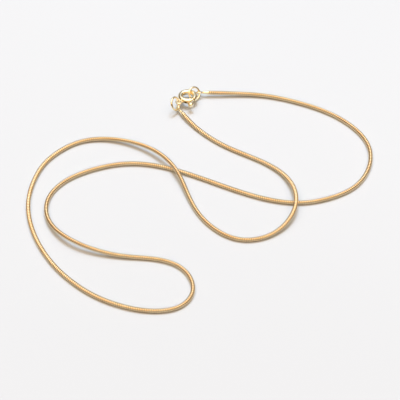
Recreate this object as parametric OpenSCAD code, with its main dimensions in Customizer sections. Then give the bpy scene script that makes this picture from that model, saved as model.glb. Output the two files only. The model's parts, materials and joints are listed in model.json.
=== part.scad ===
// A round snake chain necklace, closed, lying in loose curves on a flat surface.
// The chain crosses over itself twice. A spring ring clasp, two jump rings and
// two end caps join its ends.

/* [Chain] */
// Thickness of the round chain
chain_d = 1.2; // [1.1:0.05:1.4]

/* [End caps] */
// Length of the full-width collar that meets the chain
collar_len = 0.35; // [0.2:0.05:0.6]
// Length of the taper from the collar down to the neck
taper_len = 0.65; // [0.4:0.05:1]
// Length of the plain neck, up to the eyelet's wire
neck_len = 0.9; // [0.7:0.05:1.2]
// Thickness of the neck
neck_d = 0.85; // [0.7:0.05:1]
// Outer diameter of the cap's eyelet
cap_eye_d = 2.05; // [1.95:0.05:2.15]
// Thickness of the wire of both kinds of eyelet
eye_wire = 0.45; // [0.35:0.05:0.5]
// Diameter of the stub soldered into the chain's hollow core
stub_d = 0.5; // [0.4:0.05:0.6]
// Length of that stub
stub_len = 1.2; // [0.8:0.1:1.5]
// Gap between the stub and the core round it, and between cap and chain
stub_gap = 0.02; // [0.01:0.01:0.05]

/* [Jump rings] */
// Outer diameter of a jump ring
jump_d = 4.0; // [3.9:0.05:4.2]
// Thickness of its wire
jump_wire = 0.55; // [0.45:0.05:0.6]

/* [Clasp] */
// Outer diameter of the spring ring
clasp_d = 5.4; // [5.2:0.05:5.6]
// Thickness of its tube
tube_d = 1.5; // [1.4:0.05:1.55]
// Thickness of the tube's wall
tube_wall = 0.2; // [0.15:0.01:0.22]
// Running gap all round the bolt inside the tube
bolt_gap = 0.05; // [0.03:0.01:0.08]
// Angle of the mouth's edge on the lever's side
mouth_from = -64; // [-66:1:-62]
// Angle of the mouth's far edge
mouth_to = -40; // [-42:1:-36]
// Angle of the thumb lever with the clasp closed
lever_angle = -77; // [-79:1:-75]
// How far the lever swings to open the mouth, in degrees
lever_travel = 26; // [25:1:28]
// Thickness of the lever's stem
stem_d = 0.35; // [0.25:0.05:0.45]
// Gap round the stem in its slot
slot_gap = 0.06; // [0.04:0.01:0.1]
// Diameter of the thumb knob
knob_d = 1.5; // [1.2:0.05:1.55]
// Gap between the knob and the tube
knob_gap = 0.25; // [0.15:0.05:0.35]
// Outer diameter of the clasp's fixed eyelet
clasp_eye_d = 1.95; // [1.85:0.05:2.05]
// Angle at which that eyelet is soldered on
clasp_eye_angle = 225; // [222:1:232]

/* [Hidden] */
// The chain's own points, from the left cap to the right one. Each row gives
// x and y in millimetres and the lift off the surface in chain thicknesses.
chain_route = [
    [-5, 30.5, 0.35], [-1, 25, 0], [6, 18.5, 0], [14.5, 13.5, 0],
    [21, 8, 0.2], [24, 0.5, 1.05], [23.5, -7, 1.1], [19, -13.3, 0.1],
    [12, -16, 0], [5.5, -14, 0], [-0.5, -7.5, 0], [-4, 1, 0.25],
    [-7, 8.7, 1.15], [-13, 16, 1.05], [-21.5, 20.4, 0.38], [-29.5, 21.1, 0.02],
    [-35.5, 18.5, 0], [-40, 14, 0], [-43, 8.5, 0], [-45, -1.5, 0],
    [-43.5, -11.5, 0], [-40, -20, 0], [-35, -27.5, 0], [-27.5, -34.5, 0],
    [-19.5, -38.5, 0], [-12.5, -40, 0], [-6, -39, 0], [-2.5, -34.5, 0],
    [-3, -29, 0], [-6.5, -24.5, 0], [-12.5, -22.5, 0], [-18.5, -21.9, 0.05],
    [-25.5, -20.6, 0.5], [-33.5, -17, 1.15], [-39, -10.1, 0.45], [-40, -2, 0],
    [-36.5, 4.5, 0], [-30, 9, 0], [-20, 12, 0], [-10, 10.5, 0],
    [-0.5, 6.5, 0], [9.5, 1.5, 0], [19, -2, 0], [28, -2.5, 0],
    [37, 1, 0], [41.5, 5.5, 0], [44, 11, 0], [44.5, 17.5, 0],
    [42, 24, 0], [36, 30.5, 0], [28, 35, 0], [18, 38.5, 0.05],
    [9, 39, 0.35], [2, 39, 0.6]
];
$fn = 64;
gold = "#d8b06a";
pale_gold = "#e6c88c";

// Middle of the necklace's outline in the route's numbers, set on the origin
outline_mid = [-0.2, -0.4];

// Sweep of the chain
route_end = len(chain_route) - 1;
chain_rings = 81;
chain_sides = 8;
heading_step = 0.01;

// End caps
cap_len = collar_len + taper_len + neck_len;
cap_eye_r = (cap_eye_d - eye_wire) / 2;
left_eye_turn = 0;
right_eye_turn = 120;

// Clasp, held up between the two jump rings with its front edge raised
clasp_at = [-3.7, 37.1, 2];
clasp_tilt = -3;
clasp_x = [1, 0, 0];
clasp_z = [0, -sin(clasp_tilt), cos(clasp_tilt)];
clasp_r = (clasp_d - tube_d) / 2;
bore_d = tube_d - 2 * tube_wall;
bolt_d = bore_d - 2 * bolt_gap;

// The bolt's body stops just short of the mouth's far edge, its nose enters it
nose_set_back = 2;
nose_len = 0.25;
nose_sunk = 0.06;
tail_past_lever = 13;
bolt_tip = mouth_to - nose_set_back;
bolt_tail = lever_angle - tail_past_lever;
knob_at = clasp_d / 2 + knob_gap + knob_d / 2;
slot_half = asin((stem_d / 2 + slot_gap) / clasp_r);
clasp_eye_r = (clasp_eye_d - eye_wire) / 2;
solder_bite = 0.08;
solder_depth = tube_wall + solder_bite;
clasp_eye_at = clasp_d / 2 + clasp_eye_d / 2 - solder_depth;

// Where the right jump ring holds the clasp's tube
held_angle = 37;
jump_r = (jump_d - jump_wire) / 2;
left_lean = [-1, -1, 1];
right_lean = [0, 1, 1];

function unit(v) = v / norm(v);
function square_to(v, d) = unit(v - (v * d) * d);

// Centre of the chain at a point of its route
function held(k) = let (row = chain_route[k])
    [row.x - outline_mid.x, row.y - outline_mid.y, chain_d * (0.5 + row.z)];

// Pole of a smooth curve that runs through the route's points
function pole(k) =
    k < 0 ? 2 * held(0) - pole(1)
    : k > route_end ? 2 * held(route_end) - pole(route_end - 1)
    : k == 0 || k == route_end ? held(k)
    : held(k) - (held(k - 1) - 2 * held(k) + held(k + 1)) / 6;

// Point of that curve, t counting the route's points
function along(t) = let (
    k = min(floor(t), route_end - 1),
    f = t - k,
    p = (pow(1 - f, 3) * pole(k - 1)
        + (3 * pow(f, 3) - 6 * pow(f, 2) + 4) * pole(k)
        + (-3 * pow(f, 3) + 3 * pow(f, 2) + 3 * f + 1) * pole(k + 1)
        + pow(f, 3) * pole(k + 2)) / 6
) [p.x, p.y, max(p.z, chain_d / 2)];

start_heading = unit(pole(1) - pole(0));
end_heading = unit(pole(route_end) - pole(route_end - 1));
function heading(t) =
    t <= 0 ? start_heading
    : t >= route_end ? end_heading
    : unit(along(t + heading_step) - along(t - heading_step));

// One ring of points round the chain, with its first point underneath
function chain_ring(t) = let (
    d = heading(t),
    side = unit(cross(d, [0, 0, 1])),
    over = cross(side, d)
) [for (k = [0 : chain_sides - 1])
    along(t) + chain_d / 2 * (sin(360 * k / chain_sides) * side
        - cos(360 * k / chain_sides) * over)];

// Centres and directions of the eyelets and the clasp's tube
left_cap_out = -start_heading;
right_cap_out = end_heading;
left_cap_at = held(0) + stub_gap * left_cap_out;
right_cap_at = held(route_end) + stub_gap * right_cap_out;
left_eye = left_cap_at + (cap_len + cap_eye_r) * left_cap_out;
right_eye = right_cap_at + (cap_len + cap_eye_r) * right_cap_out;
function on_clasp(angle, r) = clasp_at
    + r * (cos(angle) * clasp_x + sin(angle) * cross(clasp_z, clasp_x));
clasp_eye = on_clasp(clasp_eye_angle, clasp_eye_at);
held_tube = on_clasp(held_angle, clasp_r);

// The left jump ring runs through the middle of two eyelets
left_across = unit(clasp_eye - left_eye);
left_side = square_to(left_lean, left_across);
left_half = norm(clasp_eye - left_eye) / 2;
left_jump_at = (clasp_eye + left_eye) / 2
    + sqrt(pow(jump_r, 2) - pow(left_half, 2)) * left_side;

// The right one runs through an eyelet and round the clasp's tube
right_across = unit(held_tube - right_eye);
right_side = square_to(right_lean, right_across);
right_jump_at = right_eye + jump_r * right_across;

// Puts children with their x and z axes along x and z
module framed(at, x, z) {
    y = cross(z, x);
    multmatrix([
        [x.x, y.x, z.x, at.x],
        [x.y, y.y, z.y, at.y],
        [x.z, y.z, z.z, at.z],
        [0, 0, 0, 1]
    ])
        children();
}

module wire_ring(r, wire) {
    rotate_extrude()
        translate([r, 0])
            circle(d = wire);
}

module stub(extra) {
    translate([0, 0, -stub_len - extra])
        cylinder(d = stub_d + 2 * extra, h = stub_len + 2 * extra + stub_gap);
}

module chain_sweep() {
    points = [for (i = [0 : chain_rings - 1])
        each chain_ring(i * route_end / (chain_rings - 1))];
    walls = [for (i = [0 : chain_rings - 2], k = [0 : chain_sides - 1])
        let (
            a = i * chain_sides + k,
            b = i * chain_sides + (k + 1) % chain_sides,
            c = a + chain_sides,
            d = b + chain_sides
        )
        each [[a, b, c], [b, d, c]]];
    first = [for (k = [chain_sides - 1 : -1 : 0]) k];
    last = [for (k = [0 : chain_sides - 1])
        (chain_rings - 1) * chain_sides + k];
    polyhedron(points = points, faces = concat(walls, [first, last]));
}

module chain() {
    color(gold)
        difference() {
            chain_sweep();
            framed(held(0), square_to([0, 0, 1], left_cap_out), left_cap_out)
                stub(stub_gap);
            framed(held(route_end), square_to([0, 0, 1], right_cap_out), right_cap_out)
                stub(stub_gap);
        }
}

// A cap with the chain below its origin and its eyelet above
module end_cap(eye_turn) {
    rotate_extrude()
        polygon([
            [0, 0],
            [chain_d / 2, 0],
            [chain_d / 2, collar_len],
            [neck_d / 2, collar_len + taper_len],
            [neck_d / 2, cap_len - eye_wire],
            [eye_wire / 2, cap_len],
            [0, cap_len]
        ]);
    stub(0);
    rotate([0, 0, eye_turn])
        translate([0, 0, cap_len + cap_eye_r])
            rotate([90, 0, 0])
                wire_ring(cap_eye_r, eye_wire);
}

module end_cap_left() {
    color(pale_gold)
        framed(left_cap_at, square_to([0, 0, 1], left_cap_out), left_cap_out)
            end_cap(left_eye_turn);
}

module end_cap_right() {
    color(pale_gold)
        framed(right_cap_at, square_to([0, 0, 1], right_cap_out), right_cap_out)
            end_cap(right_eye_turn);
}

module jump_ring_left() {
    color(pale_gold)
        framed(left_jump_at, left_across, cross(left_across, left_side))
            wire_ring(jump_r, jump_wire);
}

module jump_ring_right() {
    color(pale_gold)
        framed(right_jump_at, right_across, cross(right_across, right_side))
            wire_ring(jump_r, jump_wire);
}

// The hollow spring ring with its mouth, lever slot and soldered eyelet
module clasp_ring() {
    color(gold)
        framed(clasp_at, clasp_x, clasp_z)
            difference() {
                union() {
                    rotate_extrude(angle = 360 - (mouth_to - mouth_from), start = mouth_to)
                        translate([clasp_r, 0])
                            circle(d = tube_d);
                    rotate([0, 0, clasp_eye_angle])
                        translate([clasp_eye_at, 0, 0])
                            wire_ring(clasp_eye_r, eye_wire);
                }
                wire_ring(clasp_r, bore_d);
                rotate_extrude(
                    angle = lever_travel + 2 * slot_half,
                    start = lever_angle - lever_travel - slot_half
                )
                    translate([clasp_r, -stem_d / 2 - slot_gap])
                        square([tube_d, stem_d + 2 * slot_gap]);
            }
}

// The curved bolt that shuts the mouth, with its thumb lever
module clasp_bolt() {
    color(pale_gold)
        framed(clasp_at, clasp_x, clasp_z) {
            rotate_extrude(angle = bolt_tip - bolt_tail, start = bolt_tail)
                translate([clasp_r, 0])
                    circle(d = bolt_d);
            rotate([0, 0, bolt_tip])
                translate([clasp_r, -nose_sunk, 0])
                    rotate([-90, 0, 0])
                        cylinder(d1 = bolt_d - nose_sunk, d2 = bolt_d / 2, h = nose_len + nose_sunk);
            rotate([0, 0, lever_angle]) {
                translate([clasp_r, 0, 0])
                    rotate([0, 90, 0])
                        cylinder(d = stem_d, h = knob_at - clasp_r);
                translate([knob_at, 0, 0])
                    sphere(d = knob_d);
            }
        }
}

chain();
end_cap_left();
end_cap_right();
jump_ring_left();
jump_ring_right();
clasp_ring();
clasp_bolt();
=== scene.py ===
import json
import math
import bpy
from mathutils import Matrix, Vector


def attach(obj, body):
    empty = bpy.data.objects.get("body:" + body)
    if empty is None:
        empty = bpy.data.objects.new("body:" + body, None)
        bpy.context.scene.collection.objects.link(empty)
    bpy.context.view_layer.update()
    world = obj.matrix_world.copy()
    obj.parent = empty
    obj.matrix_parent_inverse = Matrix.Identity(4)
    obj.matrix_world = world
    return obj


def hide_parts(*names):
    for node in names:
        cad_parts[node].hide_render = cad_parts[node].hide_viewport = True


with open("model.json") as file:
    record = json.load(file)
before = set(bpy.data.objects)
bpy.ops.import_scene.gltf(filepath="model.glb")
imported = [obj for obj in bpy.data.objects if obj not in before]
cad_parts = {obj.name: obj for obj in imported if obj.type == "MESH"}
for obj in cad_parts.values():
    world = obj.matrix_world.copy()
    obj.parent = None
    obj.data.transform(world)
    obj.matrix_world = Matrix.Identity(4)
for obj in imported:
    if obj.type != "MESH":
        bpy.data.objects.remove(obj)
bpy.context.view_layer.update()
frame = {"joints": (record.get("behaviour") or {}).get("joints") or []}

mm = 0.001


# Small helpers that every piece uses

near = 0.01 * mm  # what lies this close to a place counts as on it
weld = 0.001 * mm  # points this close are merged


def deselectAll():
    bpy.ops.object.select_all(action="DESELECT")


def makeActive(obj):
    deselectAll()
    obj.select_set(True)
    bpy.context.view_layer.objects.active = obj


def nameActive(name):
    obj = bpy.context.object
    obj.name = name
    obj.data.name = name
    return obj


def editMesh(obj):
    makeActive(obj)
    bpy.ops.object.mode_set(mode="EDIT")
    bpy.ops.mesh.select_mode(type="VERT")
    bpy.ops.mesh.select_all(action="SELECT")


def leaveEdit():
    bpy.ops.object.mode_set(mode="OBJECT")


def selectWhere(obj, test, kind="VERT"):
    # Picks vertices or faces by their place while obj is in edit mode
    bpy.ops.mesh.select_mode(type=kind)
    bpy.ops.mesh.select_all(action="DESELECT")
    leaveEdit()
    if kind == "VERT":
        for vertex in obj.data.vertices:
            vertex.select = test(vertex.co)
    else:
        for face in obj.data.polygons:
            face.select = test(face.center)
    bpy.ops.object.mode_set(mode="EDIT")


def joinPieces(pieces, name):
    makeActive(pieces[0])
    for obj in pieces[1:]:
        obj.select_set(True)
    bpy.ops.object.join()
    return nameActive(name)


def settlePlace(obj, place=None):
    # Moves the object's own place into its mesh, then the place it has in the necklace
    makeActive(obj)
    bpy.ops.object.transform_apply(location=True, rotation=True, scale=True)
    if place:
        obj.matrix_world = place
        bpy.ops.object.transform_apply(location=True, rotation=True, scale=True)
    return obj


def outwardFaces(obj):
    editMesh(obj)
    bpy.ops.mesh.remove_doubles(threshold=weld)
    bpy.ops.mesh.normals_make_consistent(inside=False)
    leaveEdit()


def addModifier(obj, kind, **settings):
    modifier = obj.modifiers.new(kind.title(), kind)
    for key, value in settings.items():
        setattr(modifier, key, value)


def applyModifiers(obj):
    makeActive(obj)
    for modifier in list(obj.modifiers):
        bpy.ops.object.modifier_apply(modifier=modifier.name)


def bevelEdges(obj, width, sharpFrom):
    # Rounds every edge that turns by more than sharpFrom
    outwardFaces(obj)
    addModifier(
        obj, "BEVEL", width=width, segments=2, limit_method="ANGLE", angle_limit=sharpFrom
    )
    applyModifiers(obj)


def meltTogether(obj, voxel, softenings):
    # Makes crossing shapes one skin and softens the joint, as solder does
    outwardFaces(obj)
    addModifier(obj, "REMESH", mode="VOXEL", voxel_size=voxel)
    addModifier(obj, "SMOOTH", factor=0.5, iterations=softenings)
    applyModifiers(obj)
    bpy.ops.object.shade_smooth()


def smoothShading(obj, angle=math.radians(35)):
    makeActive(obj)
    bpy.ops.object.shade_smooth_by_angle(angle=angle)


def spinRound(angle, steps):
    # With no window a spin goes clockwise about its axis, so the axis points down
    bpy.ops.mesh.spin(steps=steps, angle=angle, center=(0, 0, 0), axis=(0, 0, -1))


def turnRound(obj, angle):
    obj.data.transform(Matrix.Rotation(angle, 4, "Z"))


def makeSection(name, radius, away, sides, filled=True):
    # An upright circle at a distance from the Z axis, ready to be spun round it
    deselectAll()
    bpy.ops.mesh.primitive_circle_add(
        vertices=sides, radius=radius, fill_type="NGON" if filled else "NOTHING",
        location=(away, 0, 0), rotation=(math.pi / 2, 0, 0),
    )
    return settlePlace(nameActive(name))


def makeEye(name, s, at, rotation=(0, 0, 0)):
    # The round eye of an end cap or of the clasp
    deselectAll()
    bpy.ops.mesh.primitive_torus_add(
        location=at, rotation=rotation,
        major_segments=s["eyeSteps"], minor_segments=s["eyeSides"],
        major_radius=s["eyeRadius"], minor_radius=s["eyeWire"] / 2,
    )
    return settlePlace(nameActive(name))


def framed(at, x, z):
    # The placement whose X and Z axes point along x and z
    y = z.cross(x)
    return Matrix((
        (x.x, y.x, z.x, at.x),
        (x.y, y.y, z.y, at.y),
        (x.z, y.z, z.z, at.z),
        (0, 0, 0, 1),
    ))


def squareTo(v, d):
    # The part of v that is square to d, at length 1
    return (v - v.dot(d) * d).normalized()


# The chain's own line, as the CAD part draws it

chain = {
    "thickness": 1.2 * mm,
    "outlineMid": (-0.2 * mm, -0.4 * mm),  # the route's point that lies on the origin
    "linkPitch": 0.57 * mm,
    "sidesRound": 16,
    "sidesBand": 6,
    "bandDepth": 0.3 * mm,
    "bandWidth": 0.635 * mm,
    "crownShare": 0.8,  # how much of the band's width its rounded crown keeps
    "wave": 0.11 * mm,  # how far the links' edges swing to and fro, in a saddle
    "smoothTo": math.radians(60),  # sharper edges than this stay sharp
    "bendSteps": 12,  # how finely the line is drawn between two of its points
}

# x and y in metres, then the lift off the table in chain thicknesses
chainRoute = [
    (-0.0050, 0.0305, 0.35), (-0.0010, 0.0250, 0), (0.0060, 0.0185, 0),
    (0.0145, 0.0135, 0), (0.0210, 0.0080, 0.2), (0.0240, 0.0005, 1.05),
    (0.0235, -0.0070, 1.1), (0.0190, -0.0133, 0.1), (0.0120, -0.0160, 0),
    (0.0055, -0.0140, 0), (-0.0005, -0.0075, 0), (-0.0040, 0.0010, 0.25),
    (-0.0070, 0.0087, 1.15), (-0.0130, 0.0160, 1.05), (-0.0215, 0.0204, 0.38),
    (-0.0295, 0.0211, 0.02), (-0.0355, 0.0185, 0), (-0.0400, 0.0140, 0),
    (-0.0430, 0.0085, 0), (-0.0450, -0.0015, 0), (-0.0435, -0.0115, 0),
    (-0.0400, -0.0200, 0), (-0.0350, -0.0275, 0), (-0.0275, -0.0345, 0),
    (-0.0195, -0.0385, 0), (-0.0125, -0.0400, 0), (-0.0060, -0.0390, 0),
    (-0.0025, -0.0345, 0), (-0.0030, -0.0290, 0), (-0.0065, -0.0245, 0),
    (-0.0125, -0.0225, 0), (-0.0185, -0.0219, 0.05), (-0.0255, -0.0206, 0.5),
    (-0.0335, -0.0170, 1.15), (-0.0390, -0.0101, 0.45), (-0.0400, -0.0020, 0),
    (-0.0365, 0.0045, 0), (-0.0300, 0.0090, 0), (-0.0200, 0.0120, 0),
    (-0.0100, 0.0105, 0), (-0.0005, 0.0065, 0), (0.0095, 0.0015, 0),
    (0.0190, -0.0020, 0), (0.0280, -0.0025, 0), (0.0370, 0.0010, 0),
    (0.0415, 0.0055, 0), (0.0440, 0.0110, 0), (0.0445, 0.0175, 0),
    (0.0420, 0.0240, 0), (0.0360, 0.0305, 0), (0.0280, 0.0350, 0),
    (0.0180, 0.0385, 0.05), (0.0090, 0.0390, 0.35), (0.0020, 0.0390, 0.6),
]


def routePoint(k):
    x, y, lift = chainRoute[k]
    midX, midY = chain["outlineMid"]
    return Vector((x - midX, y - midY, chain["thickness"] * (0.5 + lift)))


def routePole(k):
    # Control point of a smooth curve that passes through the route's points
    last = len(chainRoute) - 1
    if k < 0:
        return 2 * routePoint(0) - routePole(1)
    if k > last:
        return 2 * routePoint(last) - routePole(last - 1)
    if k in (0, last):
        return routePoint(k)
    bend = routePoint(k - 1) - 2 * routePoint(k) + routePoint(k + 1)
    pole = routePoint(k) - bend / 6
    pole.z = max(pole.z, chain["thickness"] / 2)  # never below the table
    return pole


def makeChainLine():
    deselectAll()
    bpy.ops.curve.primitive_nurbs_path_add(location=(0, 0, 0))
    line = nameActive("chainLine")
    poles = [routePole(k) for k in range(-1, len(chainRoute) + 1)]
    line.data.splines.clear()
    spline = line.data.splines.new("NURBS")
    spline.points.add(len(poles) - 1)
    for point, pole in zip(spline.points, poles):
        point.co = (*pole, 1)
    spline.order_u = 4
    spline.use_endpoint_u = False
    spline.resolution_u = chain["bendSteps"]
    line.data.twist_mode = "Z_UP"
    return line


# Where the end caps, rings and clasp sit, from the same sizes as the CAD part

endCap = {
    "seatGap": 0.02 * mm,
    "length": 1.9 * mm,
    "eyeRadius": 0.8 * mm,
    "eyeWire": 0.45 * mm,
    "eyeSteps": 48,
    "eyeSides": 20,
    "sides": 40,
    # height from the chain's end and radius, in millimetres, up the cap's side
    "profile": [
        (0, 0.53), (0.03, 0.58), (0.08, 0.60), (0.27, 0.60), (0.32, 0.575),
        (0.36, 0.545), (0.42, 0.545), (0.56, 0.50), (0.75, 0.455), (1.00, 0.425),
        (1.45, 0.415), (1.65, 0.37), (1.80, 0.28), (1.87, 0.15),
    ],
    "leftTurn": 0,  # how the eye is turned about the cap's own axis
    "rightTurn": math.radians(120),
    "skin": 0.032 * mm,
    "softenings": 3,
}
jumpRing = {
    "radius": 1.725 * mm,
    "wire": 0.55 * mm,
    "sides": 20,
    "stepsRound": 84,
    "seam": math.radians(1.6),  # the fine gap where the wire's ends meet
    "seamEdge": 0.03 * mm,
    "sharpFrom": math.radians(50),
    "leftSeamAt": math.radians(100),
    "rightSeamAt": math.radians(-75),
    "leftLean": Vector((-1, -1, 1)),
    "rightLean": Vector((0, 1, 1)),
}
clasp = {
    "radius": 1.95 * mm,
    "tube": 1.5 * mm,
    "wall": 0.2 * mm,
    "sides": 32,
    "stepsRound": 120,
    "edge": 0.035 * mm,
    "sharpFrom": math.radians(40),
    "mouthFrom": math.radians(-64),
    "mouthTo": math.radians(-40),
    "heldAngle": math.radians(37),  # where the right jump ring runs round the tube
    "slotFrom": math.radians(-109.9),
    "slotTo": math.radians(-70.1),
    "slotOpen": (math.radians(22.5), math.radians(33.75)),  # half, in the outer and inner wall
    "eyeRadius": 0.75 * mm,
    "eyeWire": 0.45 * mm,
    "eyeSteps": 48,
    "eyeSides": 20,
    "eyeAt": 3.395 * mm,
    "eyeAngle": math.radians(225),
    "solder": (0.55, 1.15, 0.62),  # the solder's half sizes, in thicknesses of the eye's wire
    "solderSides": 32,
    "solderRings": 16,
    "skin": 0.03 * mm,
    "softenings": 4,
}
bolt = {
    "thickness": 1.0 * mm,
    "sides": 24,
    "stepsAlong": 24,
    "tail": math.radians(-90),
    "tip": math.radians(-42),
    "nose": [(0.04 * mm, 0.93), (0.15 * mm, 0.66), (0.05 * mm, 0.72)],  # step, shrink
    "noseEdge": 0.03 * mm,
    "lever": math.radians(-77),
    "stem": 0.35 * mm,
    "stemSides": 20,
    "knob": 1.5 * mm,
    "knobAt": 3.7 * mm,
    "knobSides": 32,
    "knobRings": 20,
    "flat": 0.86,  # where the knob's end is cut flat, as a share of its radius
    "rim": 0.1 * mm,
    "dimple": 0.07 * mm,
    "leverEdge": 0.04 * mm,
    "sharpFrom": math.radians(28),
}

joint = frame["joints"][0]
claspAt = Vector(joint["pos_m"])
claspZ = -Vector(joint["axis"]).normalized()
claspX = Vector((1, 0, 0))
claspPlace = framed(claspAt, claspX, claspZ)

up = Vector((0, 0, 1))
chainStart = routePoint(0)
chainEnd = routePoint(len(chainRoute) - 1)
leftOut = (routePole(0) - routePole(1)).normalized()
rightOut = (routePole(len(chainRoute) - 1) - routePole(len(chainRoute) - 2)).normalized()
leftCapAt = chainStart + endCap["seatGap"] * leftOut
rightCapAt = chainEnd + endCap["seatGap"] * rightOut
eyeReach = endCap["length"] + endCap["eyeRadius"]
leftEye = leftCapAt + eyeReach * leftOut
rightEye = rightCapAt + eyeReach * rightOut


def onClasp(angle, radius):
    return claspPlace @ Vector((radius * math.cos(angle), radius * math.sin(angle), 0))


claspEye = onClasp(clasp["eyeAngle"], clasp["eyeAt"])
heldTube = onClasp(clasp["heldAngle"], clasp["radius"])

# The left jump ring runs through the middle of two eyelets
leftAcross = (claspEye - leftEye).normalized()
leftSide = squareTo(jumpRing["leftLean"], leftAcross)
leftHalf = (claspEye - leftEye).length / 2
leftDrop = math.sqrt(jumpRing["radius"] ** 2 - leftHalf ** 2)
leftJumpAt = (claspEye + leftEye) / 2 + leftDrop * leftSide
leftJumpPlace = framed(leftJumpAt, leftAcross, leftAcross.cross(leftSide))

# The right one runs through an eyelet and round the clasp's tube
rightAcross = (heldTube - rightEye).normalized()
rightSide = squareTo(jumpRing["rightLean"], rightAcross)
rightJumpAt = rightEye + jumpRing["radius"] * rightAcross
rightJumpPlace = framed(rightJumpAt, rightAcross, rightAcross.cross(rightSide))


# Pieces

def makeLinks(line):
    # One link: a ring of flat band, curved across and pushed into a saddle
    s = chain
    deselectAll()
    bandMiddle = (s["thickness"] - s["bandDepth"]) / 2
    bpy.ops.mesh.primitive_torus_add(
        location=(0, 0, 0), rotation=(0, math.pi / 2, 0),
        major_segments=s["sidesRound"], minor_segments=s["sidesBand"],
        major_radius=bandMiddle, minor_radius=s["bandDepth"] / 2, generate_uvs=True,
    )
    links = settlePlace(nameActive("snakeLinks"))
    editMesh(links)
    bpy.ops.transform.resize(value=(s["bandWidth"] / s["bandDepth"], 1, 1))
    selectWhere(links, lambda co: math.hypot(co.y, co.z) > bandMiddle + near)
    bpy.ops.transform.resize(value=(s["crownShare"], 1, 1))
    turn = 2 * math.pi / s["sidesRound"]
    for k in range(s["sidesRound"]):
        angle = k * turn

        def inColumn(co, angle=angle):
            away = math.atan2(co.z, co.y) - angle
            return abs(math.remainder(away, 2 * math.pi)) < turn / 4

        selectWhere(links, inColumn)
        bpy.ops.transform.translate(value=(s["wave"] * math.cos(2 * angle), 0, 0))
    leaveEdit()

    # The links are set in a row, each with a U range of its own, and bent along the line
    length = line.data.splines[0].calc_length()
    count = int(length / s["linkPitch"])
    step = length / count
    addModifier(
        links, "ARRAY", fit_type="FIXED_COUNT", count=count, use_relative_offset=False,
        use_constant_offset=True, constant_offset_displace=(step, 0, 0), offset_u=1,
    )
    applyModifiers(links)
    links.data.transform(Matrix.Translation((step / 2, 0, 0)))
    addModifier(links, "CURVE", object=line, deform_axis="POS_X")
    applyModifiers(links)
    smoothShading(links, s["smoothTo"])
    print("chain:", count, "links,", round(length / mm, 1), "mm")
    return links


def makeEndCap(name, turn, place):
    # The cap is drawn up ring by ring from its foot, then its eye is soldered on
    s = endCap
    deselectAll()
    profile = [(h * mm, r * mm) for h, r in s["profile"]]
    height, radius = profile[0]
    bpy.ops.mesh.primitive_circle_add(
        vertices=s["sides"], radius=radius, fill_type="NGON", location=(0, 0, height)
    )
    body = settlePlace(nameActive(name))
    editMesh(body)
    for nextHeight, nextRadius in profile[1:]:
        bpy.ops.mesh.extrude_region_move(
            TRANSFORM_OT_translate={"value": (0, 0, nextHeight - height)}
        )
        shrink = nextRadius / radius
        bpy.ops.transform.resize(value=(shrink, shrink, 1))
        height, radius = nextHeight, nextRadius
    leaveEdit()
    eyeAt = (0, 0, s["length"] + s["eyeRadius"])
    eye = makeEye("capEye", s, eyeAt, (math.pi / 2, 0, turn))
    cap = joinPieces([body, eye], name)
    meltTogether(cap, s["skin"], s["softenings"])
    return settlePlace(cap, place)


def makeJumpRing(name, seamAt, place):
    s = jumpRing
    ring = makeSection(name, s["wire"] / 2, s["radius"], s["sides"])
    editMesh(ring)
    spinRound(2 * math.pi - s["seam"], s["stepsRound"])
    leaveEdit()
    bevelEdges(ring, s["seamEdge"], s["sharpFrom"])
    smoothShading(ring)
    return settlePlace(ring, place @ Matrix.Rotation(seamAt, 4, "Z"))


def cutLeverSlot(tube):
    # Opens the tube's outer wall along the lever's travel and closes the slot's sides
    s = clasp
    middleWall = (s["tube"] - s["wall"]) / 2

    def inSlot(co):
        along = math.atan2(co.y, co.x)
        away = math.hypot(co.x, co.y) - s["radius"]
        section = abs(math.atan2(co.z, away))
        outer = math.hypot(away, co.z) > middleWall
        return s["slotFrom"] < along < s["slotTo"] and section < s["slotOpen"][0 if outer else 1]

    editMesh(tube)
    selectWhere(tube, inSlot, "FACE")
    bpy.ops.mesh.delete(type="FACE")
    bpy.ops.mesh.select_mode(type="EDGE")
    bpy.ops.mesh.select_all(action="DESELECT")
    bpy.ops.mesh.select_non_manifold(
        use_wire=False, use_boundary=True, use_multi_face=False,
        use_non_contiguous=False, use_verts=False,
    )
    bpy.ops.mesh.bridge_edge_loops()
    leaveEdit()


def makeClaspTube():
    # Section of the hollow tube: two circles bridged, then spun round to the mouth
    s = clasp
    outer = makeSection("tubeOutside", s["tube"] / 2, s["radius"], s["sides"], filled=False)
    inside = s["tube"] / 2 - s["wall"]
    inner = makeSection("tubeInside", inside, s["radius"], s["sides"], filled=False)
    tube = joinPieces([outer, inner], "claspTube")
    editMesh(tube)
    bpy.ops.mesh.bridge_edge_loops()
    bpy.ops.mesh.select_all(action="SELECT")
    spinRound(2 * math.pi - (s["mouthTo"] - s["mouthFrom"]), s["stepsRound"])
    leaveEdit()
    turnRound(tube, s["mouthTo"])
    outwardFaces(tube)
    cutLeverSlot(tube)
    bevelEdges(tube, s["edge"], s["sharpFrom"])
    smoothShading(tube)
    return tube


def makeClaspEyelet():
    # A closed eyelet in the ring's own plane, with the solder that holds it
    s = clasp
    eye = makeEye("claspEye", s, (s["eyeAt"], 0, 0))
    solderAt = s["eyeAt"] - s["eyeRadius"] - s["eyeWire"] / 2
    bpy.ops.mesh.primitive_uv_sphere_add(
        segments=s["solderSides"], ring_count=s["solderRings"], radius=s["eyeWire"],
        location=(solderAt, 0, 0), scale=s["solder"],
    )
    solder = settlePlace(nameActive("claspSolder"))
    eyelet = joinPieces([eye, solder], "claspEyelet")
    meltTogether(eyelet, s["skin"], s["softenings"])
    return settlePlace(eyelet, Matrix.Rotation(s["eyeAngle"], 4, "Z"))


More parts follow.
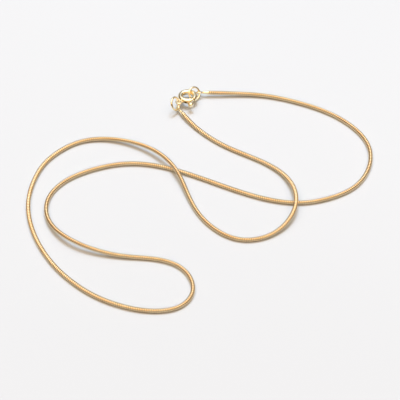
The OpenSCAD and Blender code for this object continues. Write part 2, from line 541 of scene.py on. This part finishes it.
def makeBoltArc():
    # The curved bolt in the tube, with its tapered nose
    s = bolt
    arc = makeSection("boltArc", s["thickness"] / 2, clasp["radius"], s["sides"])
    editMesh(arc)
    spinRound(s["tip"] - s["tail"], s["stepsAlong"])
    leaveEdit()
    turnRound(arc, s["tail"])
    tipAt = Vector((math.cos(s["tip"]), math.sin(s["tip"]), 0)) * clasp["radius"]
    tipWay = Vector((-math.sin(s["tip"]), math.cos(s["tip"]), 0))
    editMesh(arc)
    selectWhere(arc, lambda co: abs((co - tipAt).dot(tipWay)) < near, "FACE")
    for step, shrink in s["nose"]:
        bpy.ops.mesh.extrude_region_move(TRANSFORM_OT_translate={"value": tipWay * step})
        bpy.ops.transform.resize(value=(shrink, shrink, shrink))
    leaveEdit()
    bevelEdges(arc, s["noseEdge"], s["sharpFrom"])
    return arc


def makeKnob():
    # A ball with its outer end cut flat, rimmed and dimpled for the fingernail
    s = bolt
    bpy.ops.mesh.primitive_uv_sphere_add(
        segments=s["knobSides"], ring_count=s["knobRings"], radius=s["knob"] / 2,
        location=(s["knobAt"], 0, 0), rotation=(0, math.pi / 2, 0),
    )
    knob = settlePlace(nameActive("knob"))
    editMesh(knob)
    face = s["knobAt"] + s["knob"] / 2 * s["flat"]
    bpy.ops.mesh.bisect(
        plane_co=(face, 0, 0), plane_no=(1, 0, 0), use_fill=True, clear_outer=True,
        threshold=weld / 10,
    )
    selectWhere(knob, lambda co: co.x > face - weld, "FACE")
    bpy.ops.mesh.inset(thickness=s["rim"], depth=0)
    bpy.ops.mesh.inset(thickness=s["rim"] / 2, depth=-s["dimple"])
    leaveEdit()
    return knob


def makeLever():
    # The thumb lever: a thin stem out of the slot and the knob on its end
    s = bolt
    deselectAll()
    stemLength = s["knobAt"] - clasp["radius"]
    bpy.ops.mesh.primitive_cylinder_add(
        vertices=s["stemSides"], radius=s["stem"] / 2, depth=stemLength,
        location=(clasp["radius"] + stemLength / 2, 0, 0), rotation=(0, math.pi / 2, 0),
    )
    stem = settlePlace(nameActive("stem"))
    lever = joinPieces([makeKnob(), stem], "lever")
    bevelEdges(lever, s["leverEdge"], s["sharpFrom"])
    turnRound(lever, s["lever"])
    return lever


def makeClaspRing():
    ring = joinPieces([makeClaspTube(), makeClaspEyelet()], "claspRing")
    return settlePlace(ring, claspPlace)


def makeClaspBolt():
    claspBolt = joinPieces([makeBoltArc(), makeLever()], "claspBolt")
    smoothShading(claspBolt)
    return settlePlace(claspBolt, claspPlace)


# Materials

def newGroup(name, inputs, outputs):
    # Shader node group; inputs are (name, kind, value) rows, outputs (name, kind)
    tree = bpy.data.node_groups.new(name, "ShaderNodeTree")
    for socketName, kind, value in inputs:
        socket = tree.interface.new_socket(socketName, in_out="INPUT", socket_type=kind)
        socket.default_value = value
    for socketName, kind in outputs:
        tree.interface.new_socket(socketName, in_out="OUTPUT", socket_type=kind)
    return tree, tree.nodes.new("NodeGroupInput"), tree.nodes.new("NodeGroupOutput")


def addNode(tree, kind, inputs, **settings):
    # An input is either another node's socket, which is linked, or a value
    node = tree.nodes.new(kind)
    for key, value in settings.items():
        setattr(node, key, value)
    for key, value in inputs.items():
        if isinstance(value, bpy.types.NodeSocket):
            tree.links.new(value, node.inputs[key])
        else:
            node.inputs[key].default_value = value
    return node


def ownPlace(tree):
    return addNode(tree, "ShaderNodeTexCoord", {}).outputs["Object"]


def addNoise(tree, place, scale, detail, roughness=0.5):
    return addNode(
        tree, "ShaderNodeTexNoise",
        {"Vector": place, "Scale": scale, "Detail": detail, "Roughness": roughness},
    ).outputs[0]


def doMath(tree, operation, a, b=0.0):
    return addNode(tree, "ShaderNodeMath", {0: a, 1: b}, operation=operation).outputs[0]


def mixColours(tree, share, a, b):
    # In the Mix node sockets 6 and 7 are the two colours and output 2 is their mix
    return addNode(tree, "ShaderNodeMix", {0: share, 6: a, 7: b}, data_type="RGBA").outputs[2]


def mapRange(tree, value, low, high, toLow=0.0, toHigh=1.0):
    # Goes softly from toLow to toHigh while value goes from low to high
    return addNode(
        tree, "ShaderNodeMapRange",
        {0: value, 1: low, 2: high, 3: toLow, 4: toHigh}, interpolation_type="SMOOTHSTEP",
    ).outputs[0]


def addBump(tree, shader, height, strength, depth):
    bump = addNode(
        tree, "ShaderNodeBump", {"Height": height, "Strength": strength, "Distance": depth}
    )
    tree.links.new(bump.outputs[0], shader.inputs["Normal"])


scratchLook = {
    "linesPerMetre": 30000.0,
    "turns": (0.6, -0.9),  # the two ways that the hairlines run
    "stretch": (1, 0.05, 0.3),
    "hairFrom": 0.56,
    "hairTo": 0.72,
    "hazeSize": 2500.0,
    "hazeFrom": 0.3,
    "hazeTo": 0.7,
    "depth": 0.004 * mm,
}
toneLook = {
    "light": (0.9, 0.68, 0.38, 1),
    "deep": (0.72, 0.48, 0.2, 1),
    "patches": 600.0,
    "patchFrom": 0.35,
    "patchTo": 0.68,
}


def makeScratchGroup(s):
    # Hairlines two ways across a polished metal, and a soft haze between them
    tree, groupIn, groupOut = newGroup(
        "fineScratches",
        [
            ("Lines per Metre", "NodeSocketFloat", s["linesPerMetre"]),
            ("Haze Size", "NodeSocketFloat", s["hazeSize"]),
        ],
        [("Height", "NodeSocketFloat"), ("Haze", "NodeSocketFloat")],
    )
    place = ownPlace(tree)
    hairs = []
    for turn in s["turns"]:
        turned = addNode(
            tree, "ShaderNodeMapping",
            {"Vector": place, "Rotation": (turn, turn / 2, turn), "Scale": s["stretch"]},
        ).outputs[0]
        lines = addNoise(tree, turned, groupIn.outputs["Lines per Metre"], 2.0, 0.6)
        hairs.append(mapRange(tree, lines, s["hairFrom"], s["hairTo"]))
    height = doMath(tree, "SUBTRACT", 1.0, doMath(tree, "MAXIMUM", *hairs))
    haze = addNoise(tree, place, groupIn.outputs["Haze Size"], 4.0, 0.55)
    tree.links.new(height, groupOut.inputs["Height"])
    tree.links.new(haze, groupOut.inputs["Haze"])
    return tree


def makeToneGroup(s):
    # Plating that is a little redder and deeper in soft patches
    tree, groupIn, groupOut = newGroup(
        "platingTone",
        [
            ("Light Gold", "NodeSocketColor", s["light"]),
            ("Deep Gold", "NodeSocketColor", s["deep"]),
            ("Patch Size", "NodeSocketFloat", s["patches"]),
        ],
        [("Colour", "NodeSocketColor"), ("Patches", "NodeSocketFloat")],
    )
    noise = addNoise(tree, ownPlace(tree), groupIn.outputs["Patch Size"], 3.0)
    patches = mapRange(tree, noise, s["patchFrom"], s["patchTo"])
    golds = groupIn.outputs["Light Gold"], groupIn.outputs["Deep Gold"]
    tree.links.new(mixColours(tree, patches, *golds), groupOut.inputs["Colour"])
    tree.links.new(patches, groupOut.inputs["Patches"])
    return tree


scratchGroup = makeScratchGroup(scratchLook)
toneGroup = makeToneGroup(toneLook)


def startMaterial(name):
    material = bpy.data.materials.new(name)
    material.use_nodes = True
    tree = material.node_tree
    return material, tree, tree.nodes["Principled BSDF"]


def startMetal(name):
    material, tree, shader = startMaterial(name)
    shader.inputs["Metallic"].default_value = 1.0
    return material, tree, shader


def addTone(tree, s):
    return addNode(
        tree, "ShaderNodeGroup",
        {"Light Gold": s["light"], "Deep Gold": s["deep"], "Patch Size": s["patches"]},
        node_tree=toneGroup,
    ).outputs["Colour"]


def addScratches(tree, s):
    return addNode(
        tree, "ShaderNodeGroup", {"Lines per Metre": s["lines"]}, node_tree=scratchGroup
    ).outputs


polished = {
    "light": (1.0, 0.91, 0.69, 1), "deep": (0.93, 0.80, 0.53, 1), "patches": 700.0,
    "lines": 26000.0, "roughness": (0.06, 0.16), "bump": 0.25,
}
drawnWire = {
    "light": (1.0, 0.91, 0.69, 1), "deep": (0.92, 0.80, 0.54, 1), "patches": 900.0,
    "lines": 34000.0, "roughness": (0.08, 0.18), "bump": 0.3,
}


def makePolishedGold(name, s):
    # Smooth plated metal of the caps, rings and clasp
    material, tree, shader = startMetal(name)
    tree.links.new(addTone(tree, s), shader.inputs["Base Color"])
    scratches = addScratches(tree, s)
    haze = scratches["Haze"]
    rough = mapRange(tree, haze, scratchLook["hazeFrom"], scratchLook["hazeTo"], *s["roughness"])
    tree.links.new(rough, shader.inputs["Roughness"])
    addBump(tree, shader, scratches["Height"], s["bump"], scratchLook["depth"])
    return material


linkGold = {
    "light": (1.0, 0.85, 0.58, 1),
    "deep": (0.97, 0.75, 0.46, 1),
    # near black painted into the grooves between links, as the shade that falls there
    "grooveShade": (0.12, 0.05, 0.012, 1),
    "grooveShadeFrom": 0.12,  # where the painted groove shade begins and where it is full, in turns round the band from the link's crown
    "grooveShadeTo": 0.2,
    "grooveRoughness": 0.2,  # what a groove adds to the roughness
    "roughness": (0.1, 0.16),
    "linkSpread": 0.5,  # how far a link's tone may go towards the deep gold
    "patches": 180.0,
    "lines": 30000.0,
    "bump": 0.3,
}


def makeLinkGold(s):
    # Each link has its own U range, so its tone and polish differ from the next one's
    material, tree, shader = startMetal("linkGold")
    uv = addNode(tree, "ShaderNodeTexCoord", {}).outputs["UV"]
    parts = addNode(tree, "ShaderNodeSeparateXYZ", {0: uv})
    linkNumber = doMath(tree, "FLOOR", parts.outputs["X"])
    dice = addNode(
        tree, "ShaderNodeTexWhiteNoise", {"W": linkNumber}, noise_dimensions="1D"
    ).outputs[0]
    shade = mapRange(tree, dice, 0.0, 1.0, 1.0 - s["linkSpread"], 1.0)
    varied = mixColours(tree, shade, s["deep"], addTone(tree, s))
    # Painted shade: the band's colour goes to near black towards its edges, where it dips between
    # the links, standing in for the shadow in the grooves; the same mask also roughens it there
    fromCrown = doMath(tree, "ABSOLUTE", doMath(tree, "SUBTRACT", parts.outputs["Y"], 0.5))
    grooveShade = mapRange(tree, fromCrown, s["grooveShadeFrom"], s["grooveShadeTo"])
    colour = mixColours(tree, grooveShade, varied, s["grooveShade"])
    tree.links.new(colour, shader.inputs["Base Color"])

    polish = mapRange(tree, dice, 0.0, 1.0, *s["roughness"])
    dulled = doMath(tree, "ADD", polish, doMath(tree, "MULTIPLY", grooveShade, s["grooveRoughness"]))
    tree.links.new(dulled, shader.inputs["Roughness"])
    height = addScratches(tree, s)["Height"]
    addBump(tree, shader, height, s["bump"], scratchLook["depth"])
    return material


def useMaterial(material, *pieces):
    for piece in pieces:
        piece.data.materials.append(material)


# Table, light and camera

table = {
    "width": 3.0,
    "cuts": 8,
    "colour": (0.51, 0.539, 0.575, 1),
    "darker": 0.97,  # the colour of its faint clouds, as a share of its own
    "clouds": 4.0,
    "cloudFrom": 0.3,
    "cloudTo": 0.7,
    "roughness": 0.6,
    "shine": 0.2,
    "grain": 6000.0,
    "grainBump": 0.15,
    "grainDepth": 0.01 * mm,
}


def makeTable(s):
    deselectAll()
    bpy.ops.mesh.primitive_plane_add(size=s["width"], location=(0, 0, 0))
    top = nameActive("table")
    editMesh(top)
    bpy.ops.mesh.subdivide(number_cuts=s["cuts"])
    leaveEdit()
    material, tree, shader = startMaterial("tablePaper")
    place = ownPlace(tree)
    clouds = mapRange(tree, addNoise(tree, place, s["clouds"], 1.0), s["cloudFrom"], s["cloudTo"])
    darker = [s["darker"] * part for part in s["colour"][:3]] + [1]
    colour = mixColours(tree, clouds, s["colour"], darker)
    tree.links.new(colour, shader.inputs["Base Color"])
    shader.inputs["Roughness"].default_value = s["roughness"]
    shader.inputs["Specular IOR Level"].default_value = s["shine"]
    grain = addNoise(tree, place, s["grain"], 2.0)
    addBump(tree, shader, grain, s["grainBump"], s["grainDepth"])
    useMaterial(material, top)


# The room is brightest overhead, warmer and brighter in front than at the back, and
# warmer and dimmer at the sides. Its places are parts of a direction of length 1.
room = {
    "frontColour": (1, 0.70, 0.41, 1),
    "backColour": (0.97, 1, 1.03, 1),
    "front": -0.8,
    "back": 0.8,
    "sideFrom": 0.3,
    "sideTo": 0.8,
    "fadeFrom": 0.42,
    "fadeTo": 0.95,
    "lowStrength": 0.3,
    "highStrength": 2.2,
    "frontShare": 1.35,
    "sideShare": 0.6,
}


def makeRoom(s):
    world = bpy.data.worlds.new("studioAir")
    bpy.context.scene.world = world
    world.use_nodes = True
    tree = world.node_tree
    background = tree.nodes["Background"]
    way = addNode(tree, "ShaderNodeTexCoord", {}).outputs["Generated"]
    x, y, z = addNode(tree, "ShaderNodeSeparateXYZ", {0: way}).outputs
    behind = mapRange(tree, y, s["front"], s["back"])
    aside = doMath(tree, "ABSOLUTE", x)
    middle = mapRange(tree, aside, s["sideFrom"], s["sideTo"], 1.0, 0.0)
    cool = doMath(tree, "MULTIPLY", behind, middle)
    colour = mixColours(tree, cool, s["frontColour"], s["backColour"])
    overhead = mapRange(
        tree, z, s["fadeFrom"], s["fadeTo"], s["lowStrength"], s["highStrength"]
    )
    share = doMath(
        tree, "MULTIPLY", mapRange(tree, behind, 0.0, 1.0, s["frontShare"], 1.0),
        mapRange(tree, middle, 0.0, 1.0, s["sideShare"], 1.0),
    )
    strength = doMath(tree, "MULTIPLY", overhead, share)
    tree.links.new(colour, background.inputs["Color"])
    tree.links.new(strength, background.inputs["Strength"])


# One large softbox behind the necklace, as two lights in one place, so that the gold
# reflects only the weaker of them
keyLight = {
    "place": (0.04, 0.60, 1.70),
    "aim": (0, 0, 0),
    "width": 0.70,
    "height": 0.60,
    "colour": (0.63, 0.81, 1.0),
    "lights": [("highSoftbox", 19.2, False), ("highGlint", 6.4, True)],  # power, reflected
}


def makeKeyLight(s):
    aimWay = Vector(s["aim"]) - Vector(s["place"])
    for name, power, reflected in s["lights"]:
        deselectAll()
        bpy.ops.object.light_add(type="AREA", location=s["place"])
        light = bpy.context.object
        light.name = name
        light.data.shape = "RECTANGLE"
        light.data.size = s["width"]
        light.data.size_y = s["height"]
        light.data.energy = power
        light.data.color = s["colour"]
        light.visible_glossy = reflected
        light.rotation_euler = aimWay.to_track_quat("-Z", "Y").to_euler()


view = {
    "target": (-0.35 * mm, -0.75 * mm, 0),
    "distance": 0.5,
    "elevation": math.radians(45),
    "lens": 173.74,
    "sensor": 36,
    "clip": (0.01, 20),
}


def makeCamera(s):
    away = Vector((0, -math.cos(s["elevation"]), math.sin(s["elevation"])))
    deselectAll()
    bpy.ops.object.camera_add(location=Vector(s["target"]) + s["distance"] * away)
    camera = bpy.context.object
    camera.name = "camera"
    camera.rotation_euler = (-away).to_track_quat("-Z", "Y").to_euler()
    camera.data.lens = s["lens"]
    camera.data.sensor_width = s["sensor"]
    camera.data.clip_start, camera.data.clip_end = s["clip"]
    bpy.context.scene.camera = camera


# The camera comes first, then the pieces
makeCamera(view)
makeTable(table)
makeRoom(room)
makeKeyLight(keyLight)
bpy.context.scene.view_settings.view_transform = "Standard"
print("camera, table and light ready")

line = makeChainLine()
links = makeLinks(line)
bpy.data.objects.remove(line)
leftCapPlace = framed(leftCapAt, squareTo(up, leftOut), leftOut)
rightCapPlace = framed(rightCapAt, squareTo(up, rightOut), rightOut)
capLeft = makeEndCap("capLeft", endCap["leftTurn"], leftCapPlace)
capRight = makeEndCap("capRight", endCap["rightTurn"], rightCapPlace)
print("end caps made")
jumpLeft = makeJumpRing("jumpLeft", jumpRing["leftSeamAt"], leftJumpPlace)
jumpRight = makeJumpRing("jumpRight", jumpRing["rightSeamAt"], rightJumpPlace)
print("jump rings made")
claspRing = makeClaspRing()
claspBolt = makeClaspBolt()
print("clasp made")

useMaterial(makeLinkGold(linkGold), links)
useMaterial(makePolishedGold("polishedGold", polished), capLeft, capRight, claspRing, claspBolt)
useMaterial(makePolishedGold("wireGold", drawnWire), jumpLeft, jumpRight)
print("materials placed")

# Each piece moves with its body and stands for its CAD node
for piece, body, node, slotName in (
    (links, "necklace", "chain", "chain_gold"),
    (capLeft, "necklace", "end_cap_left", "fitting_gold"),
    (capRight, "necklace", "end_cap_right", "fitting_gold"),
    (jumpLeft, "necklace", "jump_ring_left", "fitting_gold"),
    (jumpRight, "necklace", "jump_ring_right", "fitting_gold"),
    (claspRing, "necklace", "clasp_ring", "fitting_gold"),
    (claspBolt, "bolt", "clasp_bolt", "fitting_gold"),
):
    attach(piece, body)
    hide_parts(node)
